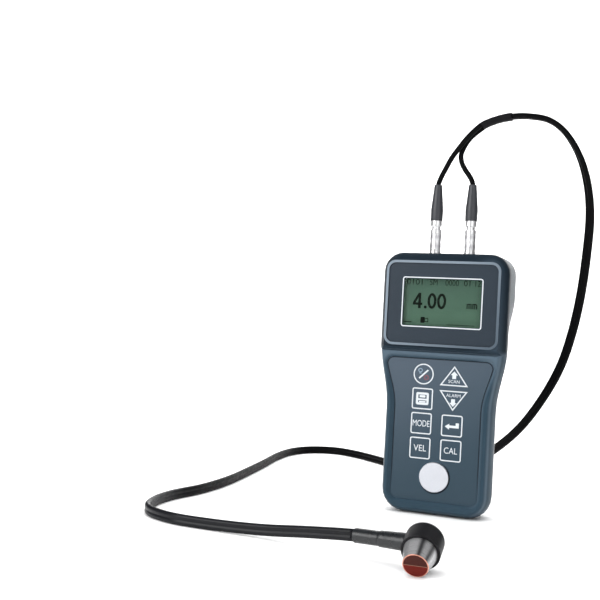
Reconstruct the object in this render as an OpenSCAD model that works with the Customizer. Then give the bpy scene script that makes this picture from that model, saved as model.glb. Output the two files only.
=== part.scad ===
// Hand-held ultrasonic thickness gauge, with a twin-element probe on a twin lead.
// The gauge stands on its bottom end: +Z runs up its length and its front faces -Y.
// Depths are counted from the front plane of the display rim, towards the back.

/* [Display] */
// Width over the printed line around the window
window_w = 46.6; // [42:0.2:52]
// Height over the printed line around the window
window_h = 28.6; // [24:0.2:34]
// Width of the printed line around the window
window_line = 1.0; // [0.6:0.1:1.6]
// Overlay on each side of the window
overlay_side = 8.3; // [5:0.1:9]
// Overlay above the window
overlay_above = 8.0; // [6:0.2:10]
// Overlay below the window
overlay_below = 9.3; // [7:0.1:12]
// Corner radius of the overlay
overlay_r = 4; // [2:0.5:6]
// Thickness of the overlay
overlay_t = 0.8; // [0.5:0.1:1.2]
// Step from the rim down to the overlay
overlay_step = 0.7; // [0.4:0.1:1.2]
// Width of the raised rim around the overlay
rim_w = 1.4; // [1:0.1:2.5]
// Height of that rim above the bevel's inner edge
rim_step = 0.5; // [0.3:0.1:1]
// Thickness of the clear window's flange
lens_t = 1.5; // [1:0.1:1.8]
// Flange of the clear window, beyond its visible part
lens_flange = 1.2; // [0.8:0.1:2]
// Thickness of the liquid-crystal cell
lcd_t = 1.8; // [1.2:0.1:2.2]
// Border of the liquid-crystal cell beyond the window
lcd_border = 1.0; // [0.5:0.1:1.5]
// Wall of the carrier around the cell
lcd_frame_wall = 1.2; // [0.8:0.1:1.5]

/* [Keypad] */
// Width of a square key over its printed line
key_s = 12.1; // [10:0.1:13]
// Corner radius of a square key
key_r = 1.2; // [0.6:0.1:2]
// Diameter of the power key
power_d = 11.8; // [9:0.1:12.5]
// Base of an arrow key
arrow_w = 16.2; // [13:0.1:16.8]
// Height of an arrow key
arrow_h = 11.3; // [9:0.1:12.5]
// Distance between rows of keys
key_pitch = 14.0; // [13:0.1:16]
// Distance between the two columns of keys
column_pitch = 17.8; // [17:0.1:19]
// Travel of a key
key_travel = 0.4; // [0.2:0.05:0.6]
// Gap around a key in the film
key_gap = 0.15; // [0.1:0.05:0.25]
// Gap around a key in the front wall
key_wall_gap = 0.35; // [0.3:0.05:0.5]
// Thickness of a key behind the film's face
key_t = 1.4; // [1:0.1:1.7]
// Diameter of a key's stem
key_stem_d = 5; // [3:0.5:6]
// Diameter of a snap dome
dome_d = 6; // [4:0.5:8]
// Height of a snap dome
dome_h = 0.5; // [0.3:0.05:0.6]
// Thickness of the keypad film
film_t = 0.6; // [0.4:0.1:1]
// Depth of the film's face
film_d = 3.0; // [2.6:0.1:3.4]
// Corner radius of the film
film_r = 4; // [2:0.5:6]
// Diameter of the steel test block
block_d = 17; // [12:0.5:18]
// Thickness of the steel test block
block_t = 4.0; // [3:0.5:5]
// Height of the test block above the film
block_proud = 0.5; // [0.2:0.1:1]
// Film below the test block
block_margin = 5.2; // [3:0.1:9]
// Film between the test block and the last row of keys
block_gap = 1.25; // [1:0.05:4]
// Film above the centre of the first row of keys
film_top = 9.0; // [8:0.1:12]

/* [Case] */
// Width of the grip
grip_w = 63.2; // [60:0.1:68]
// Depth of the case at the display head
case_d = 32; // [31:0.5:36]
// Bevel on each side of the display rim
head_bevel = 3.5; // [3:0.1:7]
// Bevel above the display rim
head_top = 4.9; // [4:0.1:7]
// Depth over which those bevels fall away
head_bevel_d = 7.4; // [4:0.1:8]
// Corner radius of the head
head_r = 11; // [9:0.5:14]
// Corner radius of the bottom end
base_r = 13; // [11:0.5:16]
// Inset of the grip's crest from its outline
grip_bevel = 3.3; // [2.5:0.1:4]
// Depth of the grip's crest
crest_d = 1.4; // [1:0.1:2]
// Depth at which the grip's bevel meets its straight side
bevel_end_d = 10; // [7.5:0.1:10.4]
// Inset of the film from the grip's outline
film_inset = 6.5; // [6:0.1:8]
// How much wider the film grows on each side towards its top
film_flare = 2; // [0:0.1:2.5]
// Width of the slope around the film
tray_slope = 2.3; // [1.5:0.1:2.6]
// Case below the film
base_border = 8; // [7:0.1:10]
// Case above the film, up to the groove under the head
grip_border = 4.2; // [3.8:0.1:6]
// Case between that groove and the display rim
head_foot = 2.7; // [2:0.1:4]
// Depth of the groove under the head
groove_d = 3.2; // [2.4:0.1:4]
// Height of the waist's lower end above the test block
waist_rise = 38.3; // [30:0.1:42]
// Height of the waist's upper end above the groove
waist_shoulder = 3.3; // [1:0.1:6]
// Depth of the parting line between the two halves
parting_d = 11; // [10.5:0.1:12]
// Wall of the case
wall_t = 2.0; // [1.6:0.1:2.4]
// Front wall behind the film and behind the overlay
front_wall = 1.8; // [1.4:0.1:2.2]
// Taper of the rear half's sides
rear_draw = 2.8; // [1:0.1:3.5]
// Radius of the rear edges of the grip
rear_r = 7; // [5:0.5:8]
// Radius of the rear edges of the head
head_back_r = 6; // [4:0.5:8]
// Radius of the bottom end's rear edge
base_edge = 4; // [2:0.5:5]
// Height of the deep part of the head, measured down from the top
bulge_drop = 45; // [40:1:48]
// Height over which the deep part runs out into the grip
bulge_run = 21; // [15:1:25]

/* [Board and screws] */
// Gap between the front wall and the board
board_gap = 1.6; // [1.5:0.1:2.2]
// Thickness of the board
board_t = 1.6; // [1:0.1:2]
// Half width of the board in the grip
board_half = 21.5; // [20:0.5:22]
// Diameter of a case screw
screw_d = 3.0; // [2.5:0.1:3.2]
// Diameter of a case screw's head
screw_head_d = 5.6; // [5:0.1:6]
// Height of a case screw's head
screw_head_h = 2.0; // [1.5:0.1:2.4]
// Wall around a screw
post_wall = 1.3; // [1:0.1:1.6]
// Distance of the upper screws from the top and the sides of the head
screw_in = 8.0; // [7.5:0.1:9]
// Length of a screw's shank
screw_len = 8; // [6:0.5:9]

/* [Batteries] */
// Diameter of a cell
cell_d = 14.5; // [10:0.5:15.5]
// Length of a cell
cell_len = 50.5; // [44:0.5:52]
// Clearance around a cell
cell_clear = 0.2; // [0.1:0.05:0.5]
// Length of a contact spring
spring_len = 4.5; // [3:0.5:6]
// Wire of a contact spring
spring_wire = 0.7; // [0.5:0.1:0.9]
// Thickness of a contact plate
contact_t = 0.5; // [0.3:0.1:0.8]
// Wall of the battery box
box_wall = 1.2; // [1:0.1:1.5]
// Height of the battery box above the bottom end
box_foot = 13; // [12:0.5:16]
// Thickness of the battery door
door_t = 2.0; // [1.6:0.1:2.4]
// Ledge on which the door lies, each side of the box
door_ledge = 3.4; // [3:0.1:4]
// Tongue of the door in its rail
door_tongue = 1.2; // [0.8:0.1:1.5]
// Clearance of the door in its rail
door_clear = 0.2; // [0.15:0.05:0.3]

/* [Connectors] */
// Distance between the two connectors
plug_spacing = 20.5; // [16:0.5:24]
// Depth of the connectors' axes
plug_depth = 19; // [17:0.5:21]
// Diameter of a plug's body
plug_d = 4.8; // [4.4:0.1:5.0]
// Diameter of a release sleeve
sleeve_d = 6.4; // [6:0.1:7]
// Length of a release sleeve
sleeve_len = 12.2; // [10:0.1:14]
// Travel of a release sleeve
sleeve_travel = 1.2; // [0.6:0.1:1.5]
// Neck that stays open above a release sleeve when it is pulled up
neck_rest = 0.7; // [0.4:0.1:1.5]
// Length of the collet ring
collet_len = 3.3; // [2.5:0.1:4.5]
// Clearance between sliding round faces
slide_clear = 0.1; // [0.05:0.01:0.15]
// Diameter of a socket's collar
collar_d = 6.6; // [6.4:0.1:8]
// Height of a socket's collar
collar_h = 2.3; // [1.5:0.1:3]
// Diameter of a socket's body
socket_d = 6.0; // [5.8:0.1:6.2]
// Depth of a socket's body below the top
socket_len = 11; // [9:0.5:13]
// Width of a socket's nut across its flats
nut_w = 8.5; // [8:0.1:9.5]
// Thickness of a socket's nut
nut_t = 2; // [1.5:0.1:2.5]
// Diameter of a strain relief at its foot
boot_d = 6.9; // [6.4:0.1:7.5]
// Diameter of a strain relief at its tip
boot_tip_d = 4.2; // [4:0.1:4.6]
// Length of a strain relief
boot_len = 21.2; // [16:0.1:24]

/* [Lead] */
// Diameter of a single lead
coax_d = 3.0; // [2.2:0.1:3.2]
// Width of the twin lead
twin_w = 5.8; // [5:0.1:6]
// Thickness of the twin lead
twin_t = 3.2; // [2.2:0.1:3.4]
// Width of the shrunk sleeve
shrink_w = 6.8; // [6.4:0.1:7.4]
// Thickness of the shrunk sleeve
shrink_t = 4.8; // [3.6:0.1:5]

/* [Probe] */
// Radius of the probe's nose
nose_r = 5.7; // [4.5:0.1:6.2]
// Rim of the nose around the wear face
nose_rim = 0.4; // [0.3:0.05:0.8]
// Radius of the steel case where it enters the cap
case_r = 7.5; // [6.6:0.1:7.6]
// Length of the steel case in front of the cap
nose_len = 9.5; // [7:0.5:12]
// Radius of the cap
cap_r = 8.7; // [8.2:0.1:9.5]
// Length of the cap
cap_len = 12; // [11:0.5:15]
// Rounding of the cap's rear edge
cap_round = 3; // [1.5:0.1:4]
// Length of the steel case inside the cap
stem_len = 4; // [3:0.5:4.5]
// Thickness of the wall between the delay blocks
barrier_t = 0.3; // [0.3:0.1:0.8]
// Thickness of a crystal
crystal_t = 0.4; // [0.2:0.05:0.6]
// Distance of the lead's exit behind the cap's front edge
exit_in = 6; // [5:0.5:7]
// Radius of the strain relief at the cap
root_r = 4.1; // [3.8:0.1:4.4]
// Radius of the strain relief's first step at its end
step_r = 3.7; // [3.5:0.1:3.8]
// Radius of the strain relief's second step
tail_r = 3.4; // [3.2:0.1:3.5]
// Length of the strain relief's second step
tail_len = 13; // [10:0.5:16]
// Nose-down angle at which the probe lies
probe_tilt = 24; // [16:1:26]
// Heading of the nose, from straight ahead towards +X
probe_heading = 3; // [-10:1:10]

/* [Hidden] */
$fn = 48;
// Overshoot of a cut through a face
over = 1;
// Seat clearance of pieces that are laid into a recess
seat = 0.15;

// Heights, built up from the bottom end
film_z0 = base_border;
block_z = film_z0 + block_margin + block_d / 2;
row4_z = block_z + block_d / 2 + block_gap + key_s / 2;
row1_z = row4_z + 3 * key_pitch;
film_z1 = row1_z + film_top;
groove_z = film_z1 + grip_border;
overlay_w = window_w + 2 * overlay_side;
overlay_h = overlay_below + window_h + overlay_above;
overlay_z0 = groove_z + head_foot + rim_w;
overlay_z1 = overlay_z0 + overlay_h;
window_z = overlay_z0 + overlay_below + window_h / 2;
head_w = overlay_w + 2 * (rim_w + head_bevel);
case_h = overlay_z1 + rim_w + head_top;
waist_z0 = block_z + waist_rise;
waist_z1 = groove_z + waist_shoulder;

// Depths, built up from the front plane
film_back_d = film_d + film_t;
overlay_back_d = overlay_step + overlay_t;
head_inner_d = overlay_back_d + front_wall;
grip_inner_d = film_back_d + front_wall;
board_d = grip_inner_d + board_gap;
box_d = board_d + board_t + 2 * cell_clear;
cell_front_d = box_d + box_wall + cell_clear;
door_d = cell_front_d + cell_d + cell_clear;
grip_back_d = door_d + door_t;
door_floor_d = door_d - door_clear;

// Battery box and door
cell_x = cell_d / 2 + cell_clear;
box_half = 2 * cell_x + cell_clear;
box_z0 = box_foot;
box_z1 = box_z0 + 2 * contact_t + spring_len + cell_len;
door_half = box_half + door_ledge;
door_z0 = base_edge + door_clear;
door_z1 = box_z1 + door_ledge;
tongue_t = door_t * 0.4;
tongue_d = door_d + door_clear;

// Screws: upper pair in the head, lower pair at the waist
screw_z_low = film_z1 - key_r - screw_d;
screw_places = [
    [head_w / 2 - screw_in, case_h - screw_in - screw_d / 4],
    [board_half + screw_d / 2 + post_wall + 2 * cell_clear, screw_z_low]];
screw_seat_d = parting_d + screw_head_h + post_wall;
counterbore_r = screw_head_d / 2 + door_clear;
pilot_r = screw_d / 2 + seat / 2;
boss_r = screw_d / 2 + post_wall;

// Display pieces behind the overlay
lens_w = window_w - 2 * window_line;
lens_h = window_h - 2 * window_line;
lcd_half_w = window_w / 2 + lcd_border;
lcd_half_h = window_h / 2 + lcd_border;
lcd_d = head_inner_d + seat / 2;
frame_half_w = lcd_half_w + seat + lcd_frame_wall;
frame_half_h = lcd_half_h + seat + lcd_frame_wall;
board_z0 = block_z + block_d / 2 + box_wall + 2 * seat;
board_head_z = overlay_z0 - rim_w;
board_z1 = window_z + frame_half_h;

// Keys: name, column and row of each
dome_front_d = board_d - dome_h;
stem_end_d = dome_front_d - key_travel - seat / 3;
key_back_d = film_d + key_t;

// Connectors, from the top end upwards
plug_places = [-plug_spacing / 2, plug_spacing / 2];
sleeve_z0 = case_h + collar_h + seat;
neck_z0 = sleeve_z0 + sleeve_len;
collet_z0 = neck_z0 + sleeve_travel + neck_rest;
boot_z0 = collet_z0 + collet_len;
boot_z1 = boot_z0 + boot_len;
bore_r = plug_d / 2 + slide_clear;
plug_tail = collet_len;
plug_nose_z = case_h - socket_len + collar_h + nut_t;

// Probe frame: the nose's lower edge touches the ground
probe_xy = [31.5, -157.6];
probe_axis = [sin(probe_heading) * cos(probe_tilt), -cos(probe_heading) * cos(probe_tilt), -sin(probe_tilt)];
probe_nose = [probe_xy.x, probe_xy.y, nose_r * cos(probe_tilt)];
cap_exit = probe_nose - probe_axis * (nose_len + exit_in);
delay_r = nose_r - nose_rim - seat / 3;
delay_len = nose_len - crystal_t;

// Route of the twin lead: shrunk sleeve, arch, landing behind the gauge, loop on the left, probe
lead_route = [[8.2, 3, 219.2], [14.2, 3, 224.4], [22, 3, 227.6], [31, 3, 229.3],
    [41, 3.5, 229.3], [52, 5, 227], [61, 8, 220], [68.5, 12, 207.5], [73, 17, 192], [74.5, 22, 174.5],
    [73, 28, 153.5], [70, 34, 130], [65.5, 40, 108.5], [59, 46, 88], [48.5, 54, 68], [33.5, 66, 47.5],
    [15, 82, 30.5], [-6, 101, 16.5], [-29, 121, 8.4], [-53, 140, 4.6], [-77, 160, 3.2],
    [-101, 181, 3], [-120, 195, 3], [-139, 202, 3], [-156, 192, 3], [-163, 168, 3],
    [-160, 132, 3], [-152, 92, 3], [-144, 48, 3], [-137, 4, 3], [-135, -34, 3], [-138, -66, 3],
    [-135, -92, 3], [-125, -112, 3], [-105, -123, 3], [-80, -125, 3.1], [-54, -126, 4.1],
    [-28, -130.5, 7.1], [-3, -136, 9.8], [22, -142, 11.2]];
// Points of that route where the shrunk sleeve begins and where it ends
shrink_from = 1;
shrink_to = 3;
// Points between which the lead turns from flat in the arch to standing on its edge
turn_from = 4;
turn_to = 16;
// Offset of each single lead from the middle of the shrunk sleeve
pair_offset = [0.5, 1.5, -0.4];
// Routes of the two single leads between their strain reliefs and the shrunk sleeve
left_route = [[-8.6, 2.9, 195], [-6.0, 2.5, 200], [-3.0, 2.0, 205.5], [0.9, 1.75, 211], [6.6, 1.6, 218.2]];
right_route = [[8.4, 3.2, 194.6], [5.2, 3.7, 199], [2.6, 4.2, 204], [2.4, 4.4, 209.4], [6.6, 4.4, 217.2]];

// Closed solid through rings of points that all have the same count, from the front ring to the back.
// The ends are flat faces, or strips from side to side where a ring bends along its height.
module loft(rings, strips = false) {
    n = len(rings[0]);
    last = (len(rings) - 1) * n;
    front = strips ? [for (i = [0 : n / 2 - 2]) [n - 1 - i, n - 2 - i, i + 1, i]]
        : [[for (i = [n - 1 : -1 : 0]) i]];
    back = strips ? [for (i = [0 : n / 2 - 2]) [last + i, last + i + 1, last + n - 2 - i, last + n - 1 - i]]
        : [[for (i = [0 : n - 1]) last + i]];
    polyhedron(
        points = [for (ring = rings) each ring],
        faces = concat(
            front,
            [for (k = [0 : len(rings) - 2], i = [0 : n - 1])
                [k * n + i, k * n + (i + 1) % n, (k + 1) * n + (i + 1) % n, (k + 1) * n + i]],
            back),
        convexity = 8);
}

// Row coordinate of a depth
function at_depth(d) = d - case_d / 2;

// Arc of an ellipse as points
function arc(cx, cz, rx, rz, a0, a1, n) =
    [for (k = [0 : n]) let (a = a0 + (a1 - a0) * k / n) [cx + rx * cos(a), cz + rz * sin(a)]];

// Right half of a ring, closed with its mirror image
function both_sides(half) = [each half,
    for (k = [len(half) - 1 : -1 : 0]) [-half[k].x, half[k].y, half[k].z]];

// Right half of an outline, closed and set at a depth
function ring(half, d) = both_sides([for (p = half) [p.x, at_depth(d), p.y]]);

// Half width of the case at a height: grip, waist, head
function ease(t) = (1 - cos(180 * min(1, max(0, t)))) / 2;
function half_w(z) = (grip_w + (head_w - grip_w) * ease((z - waist_z0) / (waist_z1 - waist_z0))) / 2;

// Waist points of an outline between two heights
function waist(z0, z1, inset, n) =
    [for (k = [0 : n]) let (z = z0 + (z1 - z0) * k / n) [half_w(z) - inset, z]];

// Whole case outline, inset at the sides and the top, and by its own amount at the bottom
function case_half(inset, inset_base) = concat(
    arc(grip_w / 2 - base_r, base_r, base_r - inset, base_r - inset_base, -90, 0, 6),
    waist(waist_z0, waist_z1, inset, 8),
    arc(head_w / 2 - head_r, case_h - head_r, head_r - inset, head_r - inset, 0, 90, 6));

// Section of the front half from its front to its side, as depth and inset: the grip's and the head's
grip_front = [for (s = [[0, 1.1], [0.02, 0.91], [0.1, 0.7], [0.32, 0.41], [0.6, 0.15], [1, 0]])
    [crest_d + s[0] * (bevel_end_d - crest_d), s[1] * grip_bevel]];
head_front = [for (s = [[0, 1], [0.06, 0.95], [0.2, 0.8], [0.48, 0.4], [0.78, 0.09], [1, 0]])
    [rim_step + s[0] * (head_bevel_d - rim_step), s[1] * head_bevel]];

// Outline of the front half, with points on both sides of the groove under the head
function front_half(inset) = let (inset_top = inset * head_top / head_bevel) concat(
    arc(grip_w / 2 - base_r, base_r, base_r - inset, base_r - inset, -90, 0, 6),
    waist(waist_z0, groove_z - head_foot / 4, inset, 6),
    waist(groove_z + head_foot / 4, waist_z1, inset, 2),
    arc(head_w / 2 - head_r, case_h - head_r, head_r - inset, head_r - inset_top, 0, 90, 6));

// Ring of the front half: each point has the inset and the depth of its own section
function front_ring(k) = let (
        heights = [for (p = front_half(0)) p.y],
        half = [for (j = [0 : len(heights) - 1])
            let (s = heights[j] > groove_z ? head_front[k] : grip_front[k], p = front_half(s[1])[j])
                [p.x, at_depth(s[0]), p.y]])
    both_sides(half);

// Half width of the film at a height, and its outline, grown outwards
function film_w(z) = half_w(z) - film_inset + film_flare * ease((z - waist_z0) / (film_z1 - waist_z0));
function film_half(grow) = let (r = film_r + grow, z1 = film_z1 + grow - r)
    concat(
    arc(film_w(0) + grow - r, film_z0 - grow + r, r, r, -90, 0, 5),
    [for (p = waist(waist_z0, z1, 0, 7)) [film_w(p.y) + grow, p.y]],
    arc(film_w(z1) + grow - r, z1, r, r, 0, 90, 5));

// How far a rounded back edge has drawn in at a depth
function edge_in(d, back, r) = d <= back - r ? 0 : r - sqrt(max(0, r * r - pow(d - back + r, 2)));

// Inset of the rear half at a depth
function rear_in(d) = rear_draw * (d - parting_d) / (grip_back_d - parting_d);

// Share of the head's deep section at a height: none in the grip, all of it above the ramp
bulge_z = case_h - bulge_drop;
function deep(z) = ease((z - bulge_z) / bulge_run);

// Inset and depth of the rear section, at an angle around its rounded edge, inside a wall
function grip_section(a, wall) = let (r = rear_r - wall, d = grip_back_d - wall - r + r * sin(a))
    [wall + rear_in(d) + r * (1 - cos(a)), d];
function head_section(a, wall) = let (r = head_back_r - wall, d = case_d - wall - r + r * sin(a))
    [wall + r * (1 - cos(a)), d];

// Outline of the rear half, with points along the ramp
function rear_half(inset, inset_base) = concat(
    arc(grip_w / 2 - base_r, base_r, base_r - inset, base_r - inset_base, -90, 0, 6),
    waist(waist_z0, waist_z1, inset, 6),
    waist(bulge_z, bulge_z + bulge_run, inset, 6),
    arc(head_w / 2 - head_r, case_h - head_r, head_r - inset, head_r - inset, 0, 90, 6));

// Ring of the rear half: each point has the inset and the depth that belong to its height
function rear_ring(a, wall) = let (
        g = grip_section(a, wall),
        h = head_section(a, wall),
        base = wall > 0 ? wall : edge_in(g[1], grip_back_d, base_edge),
        heights = [for (p = rear_half(0, 0)) p.y],
        half = [for (j = [0 : len(heights) - 1])
            let (s = g + (h - g) * deep(heights[j]), p = rear_half(s[0], base)[j])
                [p.x, at_depth(s[1]), p.y]])
    both_sides(half);

// Plate with round corners, its front at a depth, centred at x and z
module plate(w, h, r, d, t, x = 0, z = 0) {
    translate([x, at_depth(d + t), z])
        rotate([90, 0, 0])
            linear_extrude(t) {
                square([w - 2 * r, h], center = true);
                square([w, h - 2 * r], center = true);
                for (sx = [-1, 1], sz = [-1, 1])
                    translate([sx * (w / 2 - r), sz * (h / 2 - r)])
                        circle(r);
            }
}

// Box from one depth to another, symmetric about the middle plane
module block_at(half, z0, z1, d0, d1) {
    translate([-half, at_depth(d0), z0])
        cube([2 * half, d1 - d0, z1 - z0]);
}

// Cylinder along the depth
module post(x, z, r, d0, d1) {
    translate([x, at_depth(d0), z])
        rotate([-90, 0, 0])
            cylinder(h = d1 - d0, r = r);
}

// Children at each case screw
module at_screws() {
    for (p = screw_places, side = [-1, 1])
        translate([side * p.x, 0, p.y])
            children();
}

// Children turned so that their +Z lies along a direction
module along(place, dir) {
    translate(place)
        rotate([0, acos(dir.z / norm(dir)), atan2(dir.y, dir.x)])
            children();
}

// Face of a key, grown outwards: round, square, or an arrow that points up (1) or down (-1)
module key_face(kind, grow) {
    if (kind == "round")
        circle(power_d / 2 + grow);
    else if (kind == "square") {
        s = key_s + 2 * grow;
        r = key_r + grow;
        square([s - 2 * r, s], center = true);
        square([s, s - 2 * r], center = true);
        for (sx = [-1, 1], sz = [-1, 1])
            translate([sx * (s / 2 - r), sz * (s / 2 - r)])
                circle(r);
    } else {
        way = kind == "up" ? 1 : -1;
        slant = sqrt(arrow_w * arrow_w / 4 + arrow_h * arrow_h);
        inner = arrow_w * arrow_h / (arrow_w + 2 * slant);
        k = 1 + grow / inner;
        foot = -inner * k + inner - arrow_h / 2;
        polygon([[-arrow_w / 2 * k, way * foot], [arrow_w / 2 * k, way * foot],
            [0, way * (foot + arrow_h * k)]]);
    }
}

// Kind and place of each key
key_left = -column_pitch / 2;
key_right = column_pitch / 2;
KEYS = [["round", key_left, 0], ["up", key_right, 0], ["square", key_left, 1], ["down", key_right, 1],
    ["square", key_left, 2], ["square", key_right, 2], ["square", key_left, 3], ["square", key_right, 3]];

// Prism of a key's face between two depths
module key_prism(key, grow, d0, d1) {
    translate([key[1], at_depth(d1), row1_z - key[2] * key_pitch])
        rotate([90, 0, 0])
            linear_extrude(d1 - d0)
                key_face(key[0], grow);
}

// A key: a stiff patch of the film with a stem towards its dome
module key(index) {
    spot = KEYS[index];
    color("slategray") {
        key_prism(spot, 0, film_d, key_back_d);
        post(spot[1], row1_z - spot[2] * key_pitch, key_stem_d / 2, key_back_d, stem_end_d);
    }
}

// Groove across the front, between the grip and the head
module head_groove() {
    translate([-head_w, 0, 0])
        rotate([90, 0, 90])
            linear_extrude(2 * head_w)
                polygon([[at_depth(-over), groove_z + head_foot - seat],
                    [at_depth(rim_step), groove_z + head_foot - seat],
                    [at_depth(groove_d), groove_z + 2 * seat],
                    [at_depth(groove_d), groove_z - seat],
                    [at_depth(crest_d), groove_z - head_foot / 3],
                    [at_depth(-over), groove_z - head_foot / 3]]);
}

// Moulded front half
module front_shell() {
    overlay_z = (overlay_z0 + overlay_z1) / 2;
    color([0.15, 0.20, 0.24])
        difference() {
            union() {
                difference() {
                    union() {
                        difference() {
                            loft([for (k = [0 : len(grip_front) - 1]) front_ring(k),
                                ring(front_half(0), parting_d)], true);
                            head_groove();
                        }
                        plate(overlay_w + 2 * rim_w, overlay_h + 2 * rim_w, overlay_r + rim_w,
                            0, 2 * rim_step, 0, overlay_z);
                    }
                    loft([ring(film_half(tray_slope + seat), crest_d - over),
                        ring(film_half(tray_slope), crest_d - seat),
                        ring(film_half(seat), film_d),
                        ring(film_half(seat), film_back_d)]);
                    plate(overlay_w, overlay_h, overlay_r, -over, overlay_back_d + over, 0, overlay_z);
                    loft([ring(case_half(wall_t + grip_bevel / 2, wall_t + grip_bevel / 2), grip_inner_d),
                        ring(case_half(wall_t, wall_t), bevel_end_d),
                        ring(case_half(wall_t, wall_t), parting_d + over)]);
                    block_at(overlay_w / 2 - rim_w, overlay_z0, overlay_z1, head_inner_d, bevel_end_d);
                    plate(lens_w + 2 * (lens_flange + seat), lens_h + 2 * (lens_flange + seat), window_line,
                        overlay_back_d - over, front_wall + 2 * over, 0, window_z);
                    for (spot = KEYS)
                        key_prism(spot, key_wall_gap, film_d, grip_inner_d + over);
                }
                at_screws()
                    post(0, 0, boss_r, grip_inner_d - seat, parting_d);
                for (sx = [-1, 1], z = [row4_z + key_pitch / 2, film_z1 - key_r])
                    post(sx * (board_half - boss_r / 2), z, boss_r / 2, grip_inner_d - seat, board_d);
                post(0, block_z, block_d / 2 + box_wall, film_back_d,
                    film_d - block_proud + block_t + box_wall);
            }
            at_screws()
                post(0, 0, pilot_r, screw_seat_d - screw_len - seat, parting_d + over);
            post(0, block_z, block_d / 2 + seat / 3, crest_d, film_d - block_proud + block_t);
        }
}

// Moulded rear half with the battery box
module rear_shell() {
    gb = grip_back_d;
    color([0.13, 0.17, 0.20])
        difference() {
            union() {
                difference() {
                    loft([ring(rear_half(0, 0), parting_d), for (a = [0, 30, 60, 90]) rear_ring(a, 0)], true);
                    loft([ring(rear_half(wall_t, wall_t), parting_d - over),
                        for (a = [0, 45, 90]) rear_ring(a, wall_t)], true);
                }
                block_at(box_half + box_wall, box_z0 - box_wall, box_z1 + box_wall, box_d,
                    gb - wall_t + seat);
                block_at(door_half + 2 * door_tongue, wall_t - seat, door_z1 + wall_t, door_d - wall_t,
                    gb - door_t / 2);
                for (side = [-1, 1]) {
                    post(side * screw_places[0].x, screw_places[0].y, counterbore_r + post_wall, parting_d,
                        case_d - wall_t + seat);
                    post(side * screw_places[1].x, screw_places[1].y, counterbore_r + post_wall, parting_d,
                        gb - wall_t + seat);
                }
            }
            block_at(box_half, box_z0, box_z1, box_d + box_wall, gb + over);
            block_at(door_half + door_clear, -over, door_z1 + door_clear, door_floor_d, gb + over);
            block_at(door_half + door_tongue + door_clear, -over, door_z1 + door_clear,
                tongue_d - door_clear, tongue_d + tongue_t + door_clear);
            at_screws() {
                post(0, 0, pilot_r, parting_d - over, screw_seat_d + over);
                post(0, 0, counterbore_r, screw_seat_d, case_d + over);
            }
            for (x = plug_places)
                translate([x, at_depth(plug_depth), case_h - 2 * wall_t])
                    cylinder(h = 3 * wall_t, r = socket_d / 2 + seat);
        }
}

// Sliding battery door with its tongues and thumb grooves
module battery_door() {
    gb = grip_back_d;
    color([0.12, 0.16, 0.19])
        difference() {
            union() {
                block_at(door_half, door_z0, door_z1, door_d, gb);
                block_at(door_half + door_tongue, door_z0, door_z1, tongue_d, tongue_d + tongue_t);
            }
            for (k = [1 : 5])
                translate([-door_half / 3, at_depth(gb + door_t / 4), door_z0 + k * 1.5 * door_t])
                    rotate([0, 90, 0])
                        cylinder(h = door_half * 2 / 3, r = door_t * 0.4);
        }
}

// Four screws that close the case from behind
module case_screws() {
    color("dimgray")
        at_screws()
            difference() {
                union() {
                    post(0, 0, screw_d / 2, screw_seat_d - screw_len, screw_seat_d);
                    post(0, 0, screw_head_d / 2, screw_seat_d, screw_seat_d + screw_head_h);
                }
                for (a = [0, 90])
                    translate([0, at_depth(screw_seat_d + screw_head_h), 0])
                        rotate([0, a, 0])
                            cube([screw_head_d * 0.6, screw_head_h, screw_d * 0.25], center = true);
            }
}

// Printed overlay around the window
module display_overlay() {
    color([0.22, 0.26, 0.31])
        difference() {
            plate(overlay_w - 2 * seat, overlay_h - 2 * seat, overlay_r - seat, overlay_step, overlay_t, 0,
                (overlay_z0 + overlay_z1) / 2);
            plate(lens_w + seat, lens_h + seat, window_line, overlay_step - over, overlay_t + 2 * over, 0,
                window_z);
        }
}

// Clear window, flush with the overlay, on its flange
module display_window() {
    color([0.8, 0.9, 0.85, 0.4]) {
        plate(lens_w - seat, lens_h - seat, window_line - seat / 2, overlay_step, overlay_t, 0, window_z);
        plate(lens_w + 2 * lens_flange, lens_h + 2 * lens_flange, window_line, overlay_back_d, lens_t, 0,
            window_z);
    }
}

// Liquid-crystal cell
module lcd_glass() {
    color([0.38, 0.48, 0.40])
        plate(2 * lcd_half_w, 2 * lcd_half_h, seat, lcd_d, lcd_t, 0, window_z);
}

// Carrier of the cell, with the light guide, on the board
module lcd_frame() {
    color("gainsboro")
        difference() {
            plate(2 * frame_half_w, 2 * frame_half_h, lcd_frame_wall, lcd_d, board_d - lcd_d, 0, window_z);
            plate(2 * (lcd_half_w + seat), 2 * (lcd_half_h + seat), seat, lcd_d - over, lcd_t + over, 0,
                window_z);
        }
}

// Keypad film with the keys cut free
module keypad_overlay() {
    color([0.30, 0.37, 0.43])
        difference() {
            translate([0, at_depth(film_back_d), 0])
                rotate([90, 0, 0])
                    linear_extrude(film_t)
                        polygon([for (p = ring(film_half(0), film_d)) [p.x, p.z]]);
            for (spot = KEYS)
                key_prism(spot, key_gap, film_d - over, film_back_d + over);
            post(0, block_z, block_d / 2 + seat, film_d - over, film_back_d + over);
        }
}

module key_power() { key(0); }
module key_up() { key(1); }
module key_save() { key(2); }
module key_down() { key(3); }
module key_mode() { key(4); }
module key_enter() { key(5); }
module key_velocity() { key(6); }
module key_calibrate() { key(7); }

// Snap domes on the board
module key_domes() {
    color("silver")
        for (spot = KEYS)
            translate([spot[1], at_depth(board_d), row1_z - spot[2] * key_pitch])
                rotate([90, 0, 0])
                    cylinder(h = dome_h, r1 = dome_d / 2, r2 = dome_d / 3);
}

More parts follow.
